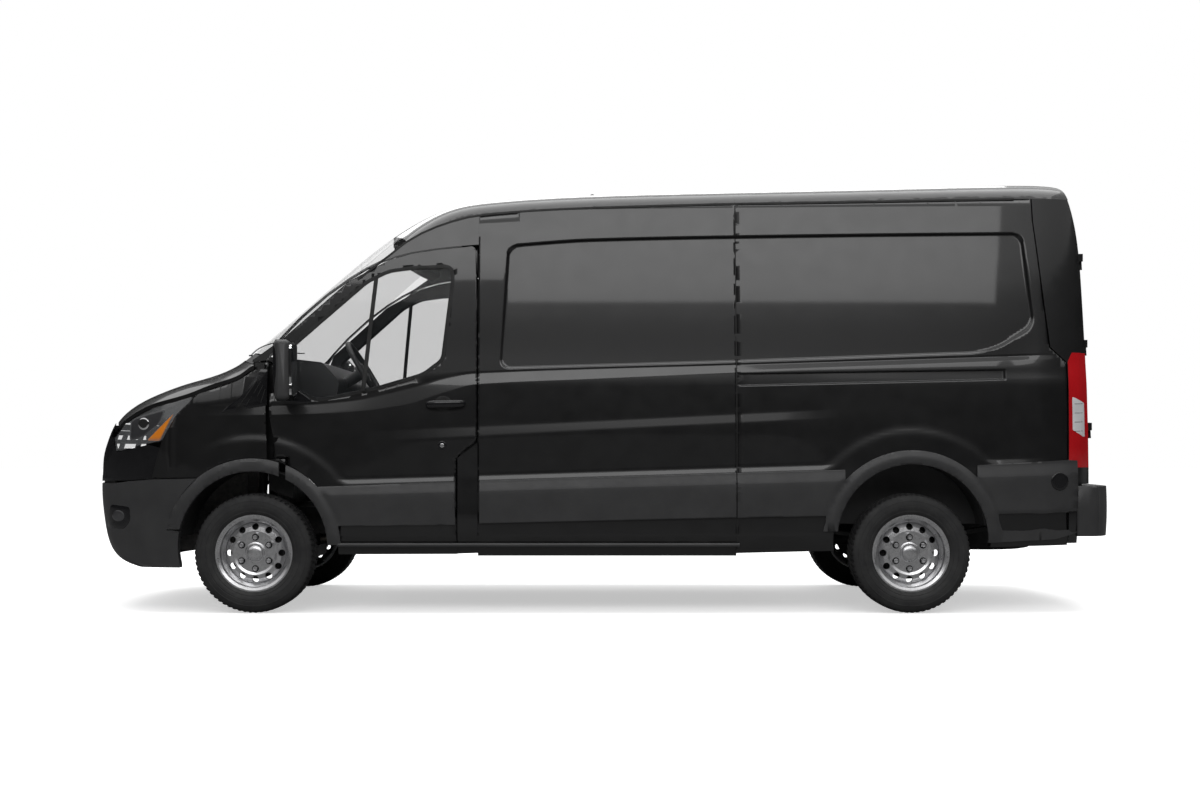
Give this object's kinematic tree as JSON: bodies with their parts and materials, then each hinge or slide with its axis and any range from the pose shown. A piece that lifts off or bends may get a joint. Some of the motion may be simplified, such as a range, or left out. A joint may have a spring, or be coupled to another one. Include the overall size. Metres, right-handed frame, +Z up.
{
  "type": "panel van",
  "caption": "Long-wheelbase medium-roof panel van with hinged cab doors, rear doors and bonnet, a fixed sliding side door, steered front wheels and steel rims.",
  "frame": {"origin": "on the ground under the middle of the van's length and width", "axes": "+X runs to the rear, +Y to the van's right side, +Z up"},
  "size_m": [5.9812, 2.474, 2.5469],
  "materials": {
    "body_black": "gloss black body paint",
    "floor_paint": "satin dark grey paint",
    "dark_plastic": "grained dark grey plastic",
    "gloss_trim": "gloss black plastic",
    "tinted_glass": "lightly tinted glass",
    "lamp_clear": "clear lamp cover",
    "lamp_red": "red lamp lens",
    "frame_steel": "satin black chassis paint",
    "engine_iron": "cast iron block",
    "exhaust_steel": "dull steel pipe",
    "wheel_steel": "silver painted steel",
    "tyre_rubber": "tyre rubber",
    "seat_cloth": "dark woven cloth"
  },
  "bodies": {
    "body": {"front_wings": "body_black", "side_centre_left": "body_black", "sliding_door": "body_black", "side_rear_right": "body_black", "side_rear_left": "body_black", "roof_cab": "body_black", "roof_centre": "body_black", "roof_rear": "body_black", "cab_frame": "body_black", "rear_frame": "body_black", "cowl_panel": "dark_plastic", "front_bumper": "dark_plastic", "grille": "dark_plastic", "nose_panel": "gloss_trim", "wing_flares": "dark_plastic", "side_cladding": "dark_plastic", "rear_bumper": "dark_plastic", "wheel_housings": "dark_plastic", "dashboard": "dark_plastic", "steering_wheel": "dark_plastic", "wipers": "dark_plastic", "windscreen": "tinted_glass", "chassis_frame": "frame_steel", "rear_axle": "frame_steel", "leaf_springs": "frame_steel", "front_suspension": "frame_steel", "driveline": "frame_steel", "fuel_tank": "frame_steel", "spare_wheel": "tyre_rubber", "headlamps": "lamp_clear", "tail_lamps": "lamp_red", "engine": "engine_iron", "exhaust": "exhaust_steel", "floor": "floor_paint", "seats": "seat_cloth"},
    "bonnet_lid": {"bonnet": "body_black"},
    "front_door_right": {"door_right": "body_black", "door_glass_right": "tinted_glass", "door_trim_right": "dark_plastic"},
    "front_door_left": {"door_left": "body_black", "door_glass_left": "tinted_glass", "door_trim_left": "dark_plastic"},
    "back_door_right": {"rear_door_right": "body_black"},
    "back_door_left": {"rear_door_left": "body_black"},
    "upright_right": {"knuckle_right": "frame_steel"},
    "upright_left": {"knuckle_left": "frame_steel"},
    "wheel_fr": {"wheel_front_right": "wheel_steel", "tyre_front_right": "tyre_rubber"},
    "wheel_fl": {"wheel_front_left": "wheel_steel", "tyre_front_left": "tyre_rubber"},
    "wheel_rr": {"wheel_rear_right": "wheel_steel", "tyre_rear_right": "tyre_rubber"},
    "wheel_rl": {"wheel_rear_left": "wheel_steel", "tyre_rear_left": "tyre_rubber"}
  },
  "joints": [
    {"name": "bonnet_hinge", "type": "hinge", "parent": "body", "child": "bonnet_lid", "pos_m": [-1.985, 0, 1.44], "axis": [0, 1, 0], "range_deg": [0, 55]},
    {"name": "front_door_right_hinge", "type": "hinge", "parent": "body", "child": "front_door_right", "pos_m": [-1.842, 0.95, 1.13], "axis": [0, 0, 1], "range_deg": [0, 70]},
    {"name": "front_door_left_hinge", "type": "hinge", "parent": "body", "child": "front_door_left", "pos_m": [-1.842, -0.95, 1.13], "axis": [0, 0, -1], "range_deg": [0, 70]},
    {"name": "back_door_right_hinge", "type": "hinge", "parent": "body", "child": "back_door_right", "pos_m": [2.852, 0.806, 0.9], "axis": [-0.0409, -0.0399, 0.9984], "range_deg": [0, 180]},
    {"name": "back_door_left_hinge", "type": "hinge", "parent": "body", "child": "back_door_left", "pos_m": [2.852, -0.806, 0.9], "axis": [0.0409, -0.0399, -0.9984], "range_deg": [0, 180]},
    {"name": "steer_left", "type": "hinge", "parent": "body", "child": "upright_left", "pos_m": [-1.9675, -0.8, 0.23], "axis": [0, 0.2323, 0.9727], "range_deg": [-35, 35]},
    {"name": "steer_right", "type": "hinge", "parent": "body", "child": "upright_right", "pos_m": [-1.9675, 0.8, 0.23], "axis": [0, -0.2323, 0.9727], "range_deg": [-35, 35]},
    {"name": "spin_front_right", "type": "hinge", "parent": "upright_right", "child": "wheel_fr", "pos_m": [-1.9675, 0.866, 0.342], "axis": [0, 1, 0], "continuous": true},
    {"name": "spin_front_left", "type": "hinge", "parent": "upright_left", "child": "wheel_fl", "pos_m": [-1.9675, -0.866, 0.342], "axis": [0, 1, 0], "continuous": true},
    {"name": "spin_rear_right", "type": "hinge", "parent": "body", "child": "wheel_rr", "pos_m": [1.7825, 0.8715, 0.342], "axis": [0, 1, 0], "continuous": true},
    {"name": "spin_rear_left", "type": "hinge", "parent": "body", "child": "wheel_rl", "pos_m": [1.7825, -0.8715, 0.342], "axis": [0, 1, 0], "continuous": true}
  ],
  "couplings": [
    {"joint": "steer_right", "follows": "steer_left", "ratio": 1}
  ]
}
